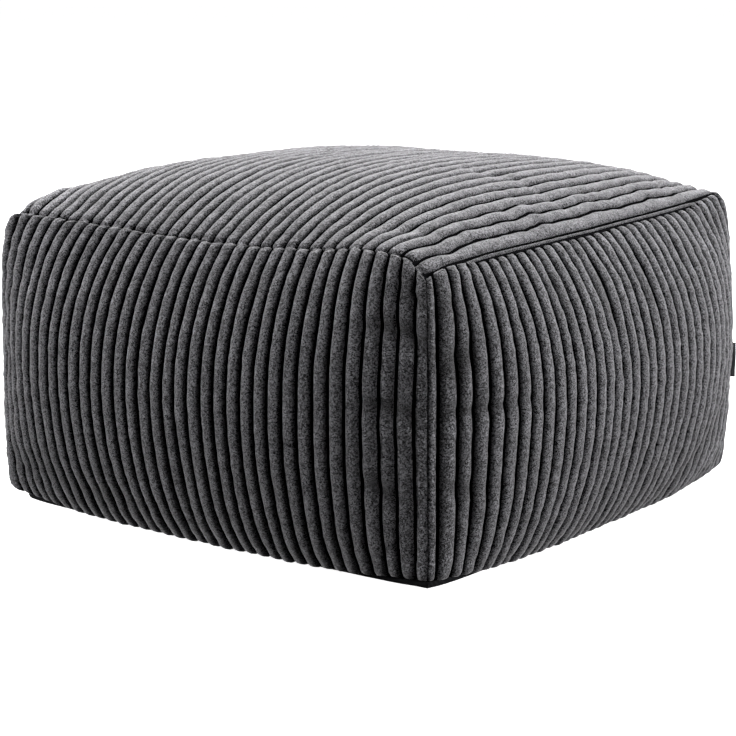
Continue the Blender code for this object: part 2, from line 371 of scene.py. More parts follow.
def pinned_cloth(name, grid):
    cloth = bpy.data.objects.new(name, mesh_of_grid(name, grid))
    bpy.context.scene.collection.objects.link(cloth)
    edge = np.ones(grid.shape[:2], dtype=bool)
    edge[1:-1, 1:-1] = False
    cloth.vertex_groups.new(name="seams").add(np.flatnonzero(edge).tolist(), 1.0, "REPLACE")
    modifier = cloth.modifiers.new("filling", "CLOTH")
    settings = modifier.settings
    settings.quality = CLOTH_STEPS
    settings.mass = CLOTH_MASS
    settings.vertex_group_mass = "seams"
    settings.shrink_min = -EASE
    settings.use_pressure = True
    settings.uniform_pressure_force = PRESSURE
    settings.effector_weights.gravity = 0.0
    modifier.collision_settings.use_collision = False
    modifier.point_cache.frame_start = 1
    modifier.point_cache.frame_end = FRAMES
    return cloth


def waves_of(cloth, grid):
    """How far the blown cloth stands out from its own softened shape, in metres."""
    ready = cloth.evaluated_get(bpy.context.evaluated_depsgraph_get())
    points = np.empty(grid.size, dtype=np.float32)
    ready.data.vertices.foreach_get("co", points)
    moved = np.sum((points.reshape(grid.shape) - grid) * surface_normals(grid), axis=2)
    return np.clip(WAVE_SHARE * (moved - softened(moved, BROAD)), -MOST_WAVE, MOST_WAVE)


def simulated_waves():
    grids = {name: cloth_grid(name) for name in PANELS}
    cloths = {name: pinned_cloth("cloth_" + name, grid) for name, grid in grids.items()}
    for frame_number in range(1, FRAMES + 1):
        bpy.context.scene.frame_set(frame_number)
    found = {name: waves_of(cloths[name], grids[name]) for name in PANELS}
    for cloth in cloths.values():
        bpy.data.objects.remove(cloth, do_unlink=True)
    bpy.context.scene.frame_set(1)
    return found


waves = simulated_waves()
for name, wave in waves.items():
    usual, most = wave.std() / MM, np.abs(wave).max() / MM
    print(name, "waves, mm: rms", usual.round(2), "most", most.round(2))

# %% [markdown]
# ## The section of a rib
#
# Jumbo corduroy has broad round ribs, steep flanks and a narrow deep valley between them. Points
# are placed closer together at the shoulders, where the shape turns, so a rib needs only a dozen
# of them. No loom and no pair of hands is exact: each rib is a little wider, narrower, higher or
# lower than the next.

# %% Rib section
RIBS = 35
LEAST_RIB = 0.5                 # a narrower rest at a seam joins the rib beside it
RIB_RISE = 0.0058
RIB_SHAPE = (3.2, 0.46)         # power and root of its round section
RIB_SINK = 0.0011               # how far the valleys lie under the smooth form
RIB_DRIFT = 0.04                # how far a valley strays, in rib widths
RIB_SPREAD = 0.06               # how much higher or lower a rib may be
VALLEY = 0.052                  # share of a rib's width that lies in the valley, each side
SEAM_TRIM = 0.080               # share of the outer ribs that the corner seams take up
RIB_STATIONS = (                # where points lie across a rib
    0.0, VALLEY, 0.072, 0.095, 0.14, 0.25, 0.50, 0.75, 0.86, 0.905, 0.928, 1.0 - VALLEY,
)


def rib_columns(first, seed, trim):
    """Shares of a panel's width, the rise there as a share, and the rib's number."""
    chance = np.random.default_rng(seed)
    edges = np.concatenate([[0.0], np.arange(first, RIBS - LEAST_RIB, 1.0), [float(RIBS)]])
    edges[2:-2] += chance.uniform(-RIB_DRIFT, RIB_DRIFT, len(edges) - 4)
    heights = 1.0 + chance.uniform(-RIB_SPREAD, RIB_SPREAD, len(edges) - 1)
    shares, within, number = [], [], []
    last = len(edges) - 2
    for index, (left, right) in enumerate(zip(edges[:-1], edges[1:])):
        start = trim if index == 0 else 0.0
        end = 1.0 - trim if index == last else 1.0
        for station in [start] + [place for place in RIB_STATIONS if start < place < end]:
            shares.append((left + (right - left) * (station - start) / (end - start)) / RIBS)
            within.append(station)
            number.append(index)
    shares.append(1.0)
    within.append(1.0 - trim)
    number.append(last)
    body = (2.0 * np.array(within) - 1.0) / (1.0 - 2.0 * VALLEY)
    rise = np.where(np.abs(body) < 1.0, swell(np.clip(body, -1, 1), RIB_SHAPE), 0.0)
    return np.array(shares), rise * heights[number], np.array(number)


shares, rise, number = rib_columns(1.0, 1, SEAM_TRIM)
print(len(shares), "columns across", number[-1] + 1, "ribs")

# %% [markdown]
# ## Dents and swaying ribs
#
# The near corner has been leaned on: the cloth beside its seam is folded softly at several
# heights, so the ribs there dip and swell again. Some ribs also wander sideways, most of all on
# the top by the right seam. Both are given in two short tables, because a simulation
# can't be told where to crease.

# %% Tables of dents and sways
PANEL_WIDTH = 0.49              # length of cloth across a panel's ribs
PANEL_LENGTHS = {"top": 0.49}   # and along them
SIDE_LENGTH = 0.27
DENTS = (
    # panel, share across, share up, reach across mm, reach up mm, out mm, lean
    ("front", 0.945, 0.800, 26, 8, -3.4, 0.05),
    ("front", 0.955, 0.725, 26, 8, 1.4, 0.0),
    ("front", 0.930, 0.560, 26, 7, -2.6, 0.0),
    ("front", 0.950, 0.470, 24, 10, 1.0, 0.0),
    ("front", 0.920, 0.300, 20, 9, -3.0, -0.3),
    ("front", 0.975, 0.925, 14, 7, -2.4, 0.0),
    ("right", 0.030, 0.900, 16, 9, -2.0, 0.2),
    ("right", 0.040, 0.730, 13, 13, -3.2, 0.0),
    ("right", 0.090, 0.560, 42, 6, -2.4, 0.02),
    ("right", 0.090, 0.500, 45, 8, 0.8, 0.0),
    ("right", 0.050, 0.310, 18, 8, -2.4, -0.1),
    ("right", 0.300, 0.860, 10, 28, -1.4, -0.9),
    ("right", 0.430, 0.800, 8, 34, -1.8, -1.1),
    ("right", 0.560, 0.840, 9, 30, -1.3, -1.2),
    ("right", 0.800, 0.200, 60, 12, -1.6, 0.75),
    ("right", 0.860, 0.120, 50, 14, 1.2, 0.6),
    ("front", 0.280, 0.120, 60, 14, -2.0, 0.0),
    ("front", 0.100, 0.150, 35, 14, -1.6, 0.2),
    ("front", 0.060, 0.480, 18, 16, -1.2, 0.0),
    ("top", 0.030, 0.070, 22, 40, 4.5, 0.0),
)
SWAYS = (
    # panel, share across, share up, reach across mm, reach up mm, to the right mm, lean
    ("top", 0.955, 0.10, 30, 14, 2.4, 0.0),
    ("top", 0.930, 0.19, 26, 10, -1.8, 0.0),
    ("top", 0.945, 0.33, 30, 10, 2.4, 0.0),
    ("top", 0.935, 0.39, 28, 8, -2.2, 0.0),
    ("top", 0.950, 0.56, 30, 9, -1.8, 0.0),
    ("top", 0.940, 0.64, 30, 8, 2.2, 0.0),
    ("top", 0.955, 0.76, 26, 8, -2.0, 0.0),
    ("top", 0.960, 0.84, 26, 7, 1.9, 0.0),
    ("top", 0.950, 0.92, 26, 7, -1.4, 0.0),
    ("front", 0.045, 0.93, 26, 60, -4.0, 0.0),
    ("front", 0.930, 0.72, 30, 16, 1.0, 0.0),
    ("front", 0.950, 0.52, 26, 14, -0.8, 0.0),
    ("front", 0.940, 0.25, 26, 18, 0.8, 0.0),
    ("right", 0.480, 0.84, 30, 16, 2.4, 0.0),
    ("right", 0.700, 0.86, 40, 14, -2.0, 0.0),
)
print(len(DENTS), "dents and", len(SWAYS), "sways")

# %% Dents and sways
DENT_SHADE_FULL = 2.2                     # mm of dent at which its painted shade is full
SWAY_CELLS = (9, 7)             # cells along and across of the ribs' own wandering
SWAY_OWN = {"top": 0.0007, "front": 0.0004, "right": 0.0006, "back": 0.0006, "left": 0.0006}
SWAY_CALM = 0.03                # share of the width beside a corner seam that hardly sways
SEEDS = {name: 10 * (place + 1) for place, name in enumerate(PANELS)}


def fade_in(place, whole, reach, least=0.0):
    """Least at both ends of a whole, and 1 from a reach inside them."""
    return np.clip(np.minimum(place, whole - place) / reach, least, 1.0)


def soft_marks(table, name, across, up):
    """Soft round fields, in metres, at the places that a table gives for a panel."""
    field = np.zeros(across.shape)
    for panel, at_across, at_up, reach_across, reach_up, amount, lean in table:
        if panel == name:
            aside = (across - at_across) * PANEL_WIDTH
            along = (up - at_up) * PANEL_LENGTHS.get(name, SIDE_LENGTH) - lean * aside
            away = (aside / (reach_across * MM)) ** 2 + (along / (reach_up * MM)) ** 2
            field = field + amount * MM * np.exp(-away)
    return field


def swayed(name, across, up, height):
    """Shares across, moved sideways where ribs wander, and left alone at the corner seams."""
    shift = SWAY_OWN[name] * unevenness(height, across[0], *SWAY_CELLS, SEEDS[name])
    shift = shift + soft_marks(SWAYS, name, across, up)
    return across + shift / PANEL_WIDTH * fade_in(across, 1.0, SWAY_CALM)


print("ribs sway freely from", SWAY_CALM, "of the width inwards")

# %% [markdown]
# ## Raising the ribs
#
# Each panel becomes a fine grid. Its points are moved out along the smooth form's normals by the
# rib section. At the front and the back top seam the ribs of two panels meet end to end and run
# on, only pinched, so both panels are raised there in one shared direction. So are the two panels
# of a corner seam, where the outer ribs lie side by side and leave only a thin crease. At the
# other seams the ribs end in round fingers, as cut ribs do where a seam holds them down.

# %% Helpers for grids
def lengths_down(grid):
    """Distance of each point from the first row, along its column."""
    steps = np.linalg.norm(np.diff(grid, axis=0), axis=2)
    return np.concatenate([np.zeros((1, grid.shape[1])), np.cumsum(steps, axis=0)])


def finger(distance, reach):
    """A round rib end: 0 at the seam, 1 from reach on."""
    return swell(np.clip(1.0 - distance / reach, 0.0, 1.0), (2.0, 0.5))


def close_rows(count, crowding):
    """Shares 0 to 1, closer together at both ends."""
    even = np.linspace(0.0, 1.0, count)
    crowded = 0.5 - 0.5 * np.cos(math.pi * even)
    return even + (crowded - even) * crowding


print("rows near a seam:", np.round(close_rows(160, 0.8)[:4], 4))

# %% The ground of a panel
CALM_DOWN = 0.03                # share of a panel's length, at its seams, that waves leave alone
CALM_ACROSS = 0.012             # and of its width
TOE_GAP = 0.0002                # no rib reaches lower over the edge of the base
CLUMP = 0.00013                 # how far tufts of pile stand out or sink in
CLUMP_CELLS = 40                # cells along each rib of its own swelling and thinning
CLUMP_SHARE = 0.07
SEAM_RUFFLE = 1.6               # how much rougher the pile is where a seam creases it


def panel_ground(name, first, rows, crowding):
    """The waved and dented form, rib rise, places across and painted dent shade of a panel."""
    trim = 0.0 if name == "top" else SEAM_TRIM
    shares, rise, number = rib_columns(first, SEEDS[name] + 1, trim)
    height = close_rows(rows, crowding)
    across, up = np.meshgrid(shares, height)
    across = swayed(name, across, up, height)
    form = smooth_form(name, across, height)
    dent = soft_marks(DENTS, name, across, up)
    calm = fade_in(up, 1.0, CALM_DOWN) * fade_in(across, 1.0, CALM_ACROSS)
    move = calm * (read_field(waves[name], height, shares) + dent)
    form = form + surface_normals(form) * move[:, :, None]
    own = unevenness(height, number / RIBS, CLUMP_CELLS, RIBS, SEEDS[name] + 2)
    # painted shade in the dents and painted light where the cloth swells out
    dent_shade = np.clip(-dent / (DENT_SHADE_FULL * MM), -1.0, 1.0)
    return form, rise * (1.0 + CLUMP_SHARE * own), across * PANEL_WIDTH, dent_shade


def raised(name, form, normal, depth, ruffle):
    """The form, moved out by its ribs and by the tufts on them."""
    tufts = np.random.default_rng(SEEDS[name] + 3).normal(0.0, CLUMP, depth.shape)
    tufts = tufts * (1.0 + SEAM_RUFFLE * ruffle)
    out = RIB_RISE * depth - RIB_SINK + tufts * np.clip(depth, 0, 1)
    grid = form + normal * out[:, :, None]
    edge = np.sort(np.abs(grid[:, :, :2]), axis=2)
    lowest = np.interp(edge[:, :, 0] / edge[:, :, 1], *EDGE_LIFT)
    grid[:, :, 2] = np.maximum(grid[:, :, 2], TOE_GAP + lowest)
    return grid


print("a rib rises", round(RIB_RISE / MM, 1), "mm from its valley")

# %% Ribs at the seams
PINCH = 0.24                    # share of a rib's rise lost where it crosses a seam
PINCH_REACH = 0.0026
PINCH_SPREAD = 0.90             # how unevenly the ribs are pinched
CREASE_DRIFT = 0.0026           # how far a rib's crease may lie over or under the seam
CREASE_SEEDS = {"front": 91, "back": 93}
POCKETS = (
    # panel, share across, mm under the seam, reach across mm, reach down mm, share of the rib lost
    ("front", 0.986, 1.2, 7.5, 3.6, 0.60),
)
SHARED_REACH = 0.006            # how far from a shared seam the raising direction turns
RUFFLE_REACH = 0.009            # how far from a creased seam the pile is parted


def shared_direction(normal, distance, seam_normal):
    weight = np.exp(-(distance / SHARED_REACH) ** 2)[:, :, None]
    mixed = normal * (1.0 - weight) + seam_normal * weight
    return mixed / np.linalg.norm(mixed, axis=2, keepdims=True)


def creased(depth, below, places, seam):
    """Ribs that cross a seam, each creased a little more or less, and higher or lower."""
    press = PINCH * (1.0 + PINCH_SPREAD * unevenness([0.0], places, 1, RIBS, CREASE_SEEDS[seam]))
    drift = CREASE_DRIFT * unevenness([0.0], places, 1, RIBS, CREASE_SEEDS[seam] + 1)
    return depth * (1.0 - np.clip(press, 0, 1) * np.exp(-(((below - drift) / PINCH_REACH) ** 2)))


def pocketed(name, depth, across, from_top):
    """Ribs whose cut ends are tucked under the seam, so that they start lower down."""
    for panel, at_across, under, reach_across, reach_down, lost in POCKETS:
        if panel == name:
            aside = (across - at_across * PANEL_WIDTH) / (reach_across * MM)
            down = (from_top - under * MM) / (reach_down * MM)
            depth = depth * (1.0 - lost * np.exp(-(aside ** 2) - down ** 2))
    return depth


def seam_ruffle(distance):
    return np.exp(-((distance / RUFFLE_REACH) ** 2))


print("ribs run on over the", " and the ".join(CREASE_SEEDS), "seam")

# %% A side panel
SIDE_ROWS = 168
SIDE_CROWDING = 0.75
FINGER_REACH = 0.008            # how long the round end of a rib is
LIP_PLACE = 0.0040              # the smooth fold of cloth under the left and right top seams
LIP_WIDTH = 0.0019
LIP_RISE = 0.84
LIP_FINGERS = 0.0058            # where the ribs start under the seam
LIP_FADE = 0.070                # how far from the corners the fold is full
LIP_LEAST = 0.15                # share of it that is left at the corners
# share of the half width from its middle, how far over the lower edge the ribs end there
TOE_LIFT = ((0.0, 0.60, 0.85, 0.93, 1.0), (0.0003, 0.0012, 0.0026, 0.0026, 0.0010))
NEAR_SEAM = {"front": 1.0, "right": 0.0}        # share of the width where the near corner is
CORNER_RUFFLE = 0.75            # how far its pile is parted
CORNER_RUFFLE_REACH = 0.04


def turned_to_corners(facing, normal, across):
    """Directions that turn to the diagonal beside both corner seams."""
    for distance, turn in ((across, 1.0), (PANEL_WIDTH - across, -1.0)):
        diagonal = np.array([facing[0] + turn * facing[1], facing[1] - turn * facing[0], 0.0])
        normal = shared_direction(normal, distance, diagonal / ROOT_2)
    return normal


def under_fold(depth, across, from_top):
    """Ribs that end in round fingers under the smooth fold of cloth along a plain seam."""
    fold = fade_in(across, PANEL_WIDTH, LIP_FADE, LIP_LEAST)
    lip = LIP_RISE * fold * np.exp(-(((from_top - LIP_PLACE) / LIP_WIDTH) ** 2))
    ribs = finger(np.clip(from_top - LIP_FINGERS * fold, 0, 1), FINGER_REACH)
    return lip + (1.0 - lip) * depth * ribs


def side_panel(name):
    """Raised points, bottom row first, and what each point knows of its place in the cloth."""
    facing, _, first = SIDES[name]
    form, rise, across, dent_shade = panel_ground(name, first, SIDE_ROWS, SIDE_CROWDING)
    normal = turned_to_corners(facing, surface_normals(form), across)
    from_bottom = lengths_down(form)
    from_top = lengths_down(form[::-1])[::-1]
    toe = np.interp(np.abs(2.0 * across / PANEL_WIDTH - 1.0), *TOE_LIFT)
    depth = rise * finger(np.clip(from_bottom - toe, 0, 1), FINGER_REACH)
    ruffle = np.zeros(depth.shape)
    if name in CREASE_SEEDS:
        places = across[-1] / PANEL_WIDTH
        depth = creased(depth, from_top, places if name == "front" else 1.0 - places, name)
        normal = shared_direction(normal, from_top, np.array([*facing, 1.0]) / ROOT_2)
        ruffle = seam_ruffle(from_top)
    else:
        depth = under_fold(depth, across, from_top)
    depth = pocketed(name, depth, across, from_top)
    if name in NEAR_SEAM:
        aside = (across / PANEL_WIDTH - NEAR_SEAM[name]) / CORNER_RUFFLE_REACH
        ruffle = np.maximum(ruffle, CORNER_RUFFLE * np.exp(-(aside ** 2)))
    layers = {"rib_height": depth, "along_rib": from_bottom, "across_rib": across}
    return raised(name, form, normal, depth, ruffle), layers | {"dent_shade": dent_shade, "ruffle": ruffle}


print("a side panel has", SIDE_ROWS, "rows of points")

# %% The top panel
TOP_ROWS = 230
TOP_CROWDING = 0.65
TOP_FIRST_RIB = 0.8             # width of its left rib in rib widths


def top_panel():
    """Raised points, front row first, and what each point knows of its place in the cloth."""
    form, depth, across, dent_shade = panel_ground("top", TOP_FIRST_RIB, TOP_ROWS, TOP_CROWDING)
    normal = surface_normals(form)
    from_front = lengths_down(form)
    from_back = lengths_down(form[::-1])[::-1]
    for seam, distance, row in (("front", from_front, 0), ("back", from_back, -1)):
        depth = creased(depth, -distance, across[row] / PANEL_WIDTH, seam)
        facing, _, _ = SIDES[seam]
        normal = shared_direction(normal, distance, np.array([*facing, 1.0]) / ROOT_2)
    ruffle = seam_ruffle(np.minimum(from_front, from_back))
    layers = {"rib_height": depth, "along_rib": from_front, "across_rib": across}
    return raised("top", form, normal, depth, ruffle), layers | {"dent_shade": dent_shade, "ruffle": ruffle}


print("the top panel has", TOP_ROWS, "rows of points")

# %% [markdown]
# ## From a grid to a panel
#
# The edge of every panel is turned in towards the filling, as a seam allowance is. It shows only
# as the dark line of the seam, and it keeps light from leaking between two panels. Each point
# also carries how high it lies in its rib and its place in the cloth, so that the finish can
# paint shade into the valleys and part the pile along a creased seam. The floor of a valley has no
# pile at all, and the flanks beside it are too hidden to shine, so both get finishes of their own;
# the floor and the foot of the flanks get a weave painted near black as shade.

# %% Make a mesh of a grid
TURN_IN = (0.035, 0.055)        # two steps towards the middle of the filling, as shares of the way
HEART = np.array([0.0, 0.0, 0.125])
SHADED_GROUND_DEPTH = 0.64               # rib depth under which the woven ground, painted near black as shade, is used
FLANK_DEPTH = 0.90              # and under which the pile is too hidden to shine


def with_turned_edges(grid):
    for step in TURN_IN:
        first, last = (row + (HEART - row) * step for row in (grid[:1], grid[-1:]))
        grid = np.concatenate([first, grid, last], axis=0)
        left, right = (row + (HEART - row) * step for row in (grid[:, :1], grid[:, -1:]))
        grid = np.concatenate([left, grid, right], axis=1)
    return grid


def add_layer(mesh, name, values):
    attribute = mesh.attributes.new(name, "FLOAT", "POINT")
    attribute.data.foreach_set("value", values.astype(np.float32).ravel())


def panel_piece(name, panel, finishes):
    """A panel with its pile and flank finishes, and its ground painted near black as shade."""
    grid, layers = panel
    edges = len(TURN_IN)
    mesh = mesh_of_grid(name, with_turned_edges(grid))
    depth = np.pad(layers["rib_height"], edges)
    for layer, values in layers.items():
        padded = depth if layer == "rib_height" else np.pad(values, edges, mode="edge")
        add_layer(mesh, layer, padded)
    corners = depth[:-1, :-1], depth[1:, :-1], depth[:-1, 1:], depth[1:, 1:]
    highest = np.maximum.reduce(corners)
    mesh.shade_smooth()
    for finish in finishes:
        mesh.materials.append(finish)
    # the lowest faces of a rib take the ground painted near black as shade
    number = np.where(highest < SHADED_GROUND_DEPTH, 1, np.where(highest < FLANK_DEPTH, 2, 0))
    mesh.polygons.foreach_set("material_index", number.astype(np.int32).ravel())
    piece = bpy.data.objects.new(name, mesh)
    bpy.context.scene.collection.objects.link(piece)
    return piece


print("edges are turned in by", [f"{step:.1%}" for step in TURN_IN], "of the way to the middle")

# %% [markdown]
# ## The corduroy finish
#
# Corduroy is cut pile: short upright tufts that drink light when looked straight into and shine
# pale at a grazing angle. A dark base colour with a soft sheen gives that. The pile is flecked
# where tufts lean unevenly, and its colour is painted darker down its flanks as shade, since
# little light gets between two ribs. One finish could fade from the tops to the valleys, but its
# sheen would make the valleys shine. So there are three: the pile on top, the same pile on the
# flanks with a tighter sheen, and a plain weave painted near black as the valleys' shade, without
# any sheen, for the ground of the valleys.

# %% Helpers for finishes
def link(tree, output, socket):
    tree.links.new(output, socket)


def new_finish(name, roughness, specular):
    material = bpy.data.materials.new(name)
    material.use_nodes = True
    shader = material.node_tree.nodes["Principled BSDF"]
    shader.inputs["Roughness"].default_value = roughness
    shader.inputs["Specular IOR Level"].default_value = specular
    return material, material.node_tree, shader


def add_node(tree, kind, **settings):
    """A node with plain settings, and values for the sockets that are named like them."""
    node = tree.nodes.new(kind)
    for name, value in settings.items():
        if name in node.inputs:
            node.inputs[name].default_value = value
        else:
            setattr(node, name, value)
    return node


def textured(tree, kind, place, **settings):
    """A texture that is read at a place."""
    node = add_node(tree, kind, **settings)
    link(tree, place, node.inputs["Vector"])
    return node


def layer(tree, name):
    """What the mesh knows of its place in the cloth."""
    return add_node(tree, "ShaderNodeAttribute", attribute_name=name).outputs["Fac"]


print("helpers for nodes are ready")

# %% Helpers for tones
def ramp(tree, source, low, dark, high, light):
    node = tree.nodes.new("ShaderNodeValToRGB")
    for stop, place, colour in zip(node.color_ramp.elements, (low, high), (dark, light)):
        stop.position = place
        stop.color = (*colour, 1.0)
    link(tree, source, node.inputs["Fac"])
    return node.outputs["Color"]


def map_range(tree, source, low, high, to_low, to_high):
    node = tree.nodes.new("ShaderNodeMapRange")
    ends = (("From Min", low), ("From Max", high), ("To Min", to_low), ("To Max", to_high))
    for name, value in ends:
        node.inputs[name].default_value = value
    link(tree, source, node.inputs["Value"])
    return node.outputs["Result"]


def calculated(tree, operation, first, second, *numbers):
    """A math node of two outputs, or of one and a number, and any number after them."""
    node = add_node(tree, "ShaderNodeMath", operation=operation)
    link(tree, first, node.inputs[0])
    if isinstance(second, bpy.types.NodeSocket):
        link(tree, second, node.inputs[1])
    else:
        node.inputs[1].default_value = second
    for place, number in enumerate(numbers, start=2):
        node.inputs[place].default_value = number
    return node.outputs["Value"]


def add_bump(tree, shader, height, strength, distance):
    bump = add_node(tree, "ShaderNodeBump", Strength=strength, Distance=distance)
    link(tree, height, bump.inputs["Height"])
    link(tree, bump.outputs["Normal"], shader.inputs["Normal"])


print("helpers for tones are ready")

# %% Tones of the pile
FLECK_DARK = (0.0045, 0.0045, 0.0052)
FLECK_LIGHT = (0.225, 0.223, 0.240)
FLECK_POWER = 2.0               # how sparse the pale tips are among the dark ones
FLECK_ENDS = (0.06, 0.66)
TUFT_SCALE = 1250.0
TIP_SCALE = 1020.0
TIP_SHARE = 0.80
PATCH_SCALE = 55.0
PATCH_TONE = (0.3, 0.7, 0.80, 1.15)             # from low and high, to low and high
DENT_SHADE_TONE = (-1.0, 1.0, 1.45, 0.32)            # painted light where the cloth swells, painted shade in its dents
STROKE_SCALE = 520.0            # where the pile is parted at a crease
STROKE_TONE = (0.35, 0.65, -0.75, 0.75)


def flecks(tree, place):
    """How high the tufts stand, and their colour."""
    tufts = textured(
        tree, "ShaderNodeTexNoise", place, Scale=TUFT_SCALE, Detail=1.5, Roughness=0.6
    )
    tips = textured(tree, "ShaderNodeTexVoronoi", place, Scale=TIP_SCALE)
    tip = add_node(tree, "ShaderNodeSeparateColor")
    link(tree, tips.outputs["Color"], tip.inputs["Color"])
    mixed = add_node(tree, "ShaderNodeMix", data_type="FLOAT")
    mixed.inputs["Factor"].default_value = TIP_SHARE
    link(tree, tufts.outputs["Fac"], mixed.inputs["A"])
    link(tree, tip.outputs["Red"], mixed.inputs["B"])
    height = mixed.outputs["Result"]
    sparse = calculated(tree, "POWER", height, FLECK_POWER)
    return height, ramp(tree, sparse, FLECK_ENDS[0], FLECK_DARK, FLECK_ENDS[1], FLECK_LIGHT)


def pile_tone(tree, place):
    """How light the pile is: uneven, painted shade and light on dents, and parted at a crease."""
    patches = textured(tree, "ShaderNodeTexNoise", place, Scale=PATCH_SCALE, Detail=3.0)
    patch = map_range(tree, patches.outputs["Fac"], *PATCH_TONE)
    # painted shade in the dents and painted light on the swells
    painted_dent_shade = map_range(tree, layer(tree, "dent_shade"), *DENT_SHADE_TONE)
    tone = calculated(tree, "MULTIPLY", patch, painted_dent_shade)
    strokes = textured(tree, "ShaderNodeTexNoise", place, Scale=STROKE_SCALE, Detail=1.0)
    parted = map_range(tree, strokes.outputs["Fac"], *STROKE_TONE)
    ruffle = calculated(tree, "MULTIPLY_ADD", parted, layer(tree, "ruffle"), 1.0)
    return calculated(tree, "MULTIPLY", tone, ruffle)


print("tufts are about", round(1.0 / TIP_SCALE / MM, 2), "mm apart")

# %% Pile and ground
# painted shade: the colour at the foot of a rib, where little light gets between two ribs
FLANK_SHADE = (0.0022, 0.0022, 0.0026)
FLANK_SHADE_FADE = (0.30, 0.92, 0.0, 1.0)             # painted shade, from a rib's foot to its top
SHEEN_TINT = (0.80, 0.785, 0.80, 1.0)
PILE_SHEEN = (0.52, 0.5)        # weight and roughness
FLANK_SHEEN = (0.80, 0.33)
TUFT_BUMP = 0.0020
GROUND_THREADS = 420.0
GROUND_SHADE_DARK = (0.0025, 0.0025, 0.0028)
GROUND_SHADE_LIGHT = (0.009, 0.009, 0.010)


def pile_finish(name, sheen, spread):
    material, tree, shader = new_finish(name, 0.9, 0.08)
    shader.inputs["Sheen Weight"].default_value = sheen
    shader.inputs["Sheen Roughness"].default_value = spread
    shader.inputs["Sheen Tint"].default_value = SHEEN_TINT
    place = add_node(tree, "ShaderNodeTexCoord").outputs["Object"]
    height, fleck = flecks(tree, place)
    toned = add_node(tree, "ShaderNodeVectorMath", operation="SCALE")
    link(tree, fleck, toned.inputs[0])
    link(tree, pile_tone(tree, place), toned.inputs["Scale"])
    # painted shade: the pile's colour darkens from the top of each rib to its foot
    lit = map_range(tree, layer(tree, "rib_height"), *FLANK_SHADE_FADE)
    colour = add_node(tree, "ShaderNodeMix", data_type="RGBA")
    colour.inputs["A"].default_value = (*FLANK_SHADE, 1.0)
    link(tree, lit, colour.inputs["Factor"])
    link(tree, toned.outputs["Vector"], colour.inputs["B"])
    link(tree, colour.outputs["Result"], shader.inputs["Base Color"])
    add_bump(tree, shader, height, 1.0, TUFT_BUMP)
    return material


def shaded_ground_finish():
    """The bare weave between the ribs, painted near black as their shade, with threads across it.
    """
    material, tree, shader = new_finish("valley_ground_shade", 1.0, 0.0)
    place = add_node(tree, "ShaderNodeCombineXYZ")
    for name, axis in (("across_rib", "X"), ("along_rib", "Y")):
        link(tree, layer(tree, name), place.inputs[axis])
    threads = textured(
        tree, "ShaderNodeTexWave", place.outputs["Vector"],
        bands_direction="Y", Scale=GROUND_THREADS, Distortion=1.5, Detail=1.0,
    )
    # painted shade: the weave is kept near black, as the shade deep in a valley
    weave = ramp(tree, threads.outputs["Fac"], 0.2, GROUND_SHADE_DARK, 0.9, GROUND_SHADE_LIGHT)
    link(tree, weave, shader.inputs["Base Color"])
    return material


corduroy = (
    pile_finish("charcoal_pile", *PILE_SHEEN),
    shaded_ground_finish(),
    pile_finish("pile_flank", *FLANK_SHEEN),
)
print("the pile finish has", len(corduroy[0].node_tree.nodes), "nodes")

# %% The corduroy panels
panels = [panel_piece("top_panel", top_panel(), corduroy)]
for side in SIDES:
    panels.append(panel_piece(side + "_panel", side_panel(side), corduroy))
for piece in panels:
    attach(piece, "root")
    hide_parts("filled_cover")
    print(piece.name, "has", 2 * len(piece.data.polygons), "triangles")

# %% [markdown]
# ## The base
#
# Under the filling the cover is closed by one square of thin black cloth. It lies flat on the
# floor and turns up a little at its edge, where it shows as a thin dark line below the ribs. It is
# a fine grid with the edge's lift in it, thickened by a modifier, which keeps both faces parallel.

# %% Base cloth
BASE_CELLS = 100
BASE_CROWDING = 2.2             # the grid is much finer at its edge
BASE_CLOTH = 0.0018
BASE_WALL = 0.0035              # how far the cloth rounds up from the floor to its seam
BASE_WALL_SHAPE = (2.0, 0.5)
BASE_WAVE = 0.0004
BASE_WAVE_CELLS = 12
BASE_ROUND = 0.0055             # how far its corners are rounded in
BASE_ROUND_POWER = 7.0
BASE_SLIDE = 0.5                # share of the near corner's slide that it follows


def base_grid():
    """The square of cloth from its middle outwards, with its edge lifted."""
    even = np.linspace(-1.0, 1.0, BASE_CELLS + 1)
    share = np.sign(even) * (1.0 - (1.0 - np.abs(even)) ** BASE_CROWDING)
    across, along = np.meshgrid(share, share)
    reach = np.maximum(np.abs(across), np.abs(along))
    station = np.minimum(np.abs(across), np.abs(along)) / np.maximum(reach, 1e-6)
    half = frame_reach(across, along, 0.0) - BASE_ROUND * station ** BASE_ROUND_POWER * reach
    inward = np.clip((1.0 - reach) * half / BASE_WALL, 0.0, 1.0)
    lift = np.interp(station, *EDGE_LIFT) * (1.0 - swell(1.0 - inward, BASE_WALL_SHAPE))
    places = (even + 1.0) / 2.0
    wave = BASE_WAVE * unevenness(places, places, BASE_WAVE_CELLS, BASE_WAVE_CELLS, 7) ** 2
    grid = np.stack([across * half, along * half, lift + wave], axis=2)
    return grid + BASE_SLIDE * (slid(grid) - grid)


def sheet_area(grid):
    across, along = np.diff(grid, axis=1)[:-1], np.diff(grid, axis=0)[:, :-1]
    return float(np.linalg.norm(np.cross(across, along), axis=2).sum())


def sheet_piece(name, grid, finish, thickness, offset):
    mesh = mesh_of_grid(name, grid)
    mesh.shade_smooth()
    mesh.materials.append(finish)
    piece = bpy.data.objects.new(name, mesh)
    bpy.context.scene.collection.objects.link(piece)
    thick = piece.modifiers.new("thickness", "SOLIDIFY")
    thick.thickness = thickness
    thick.offset = offset
    return piece


base_points = base_grid()

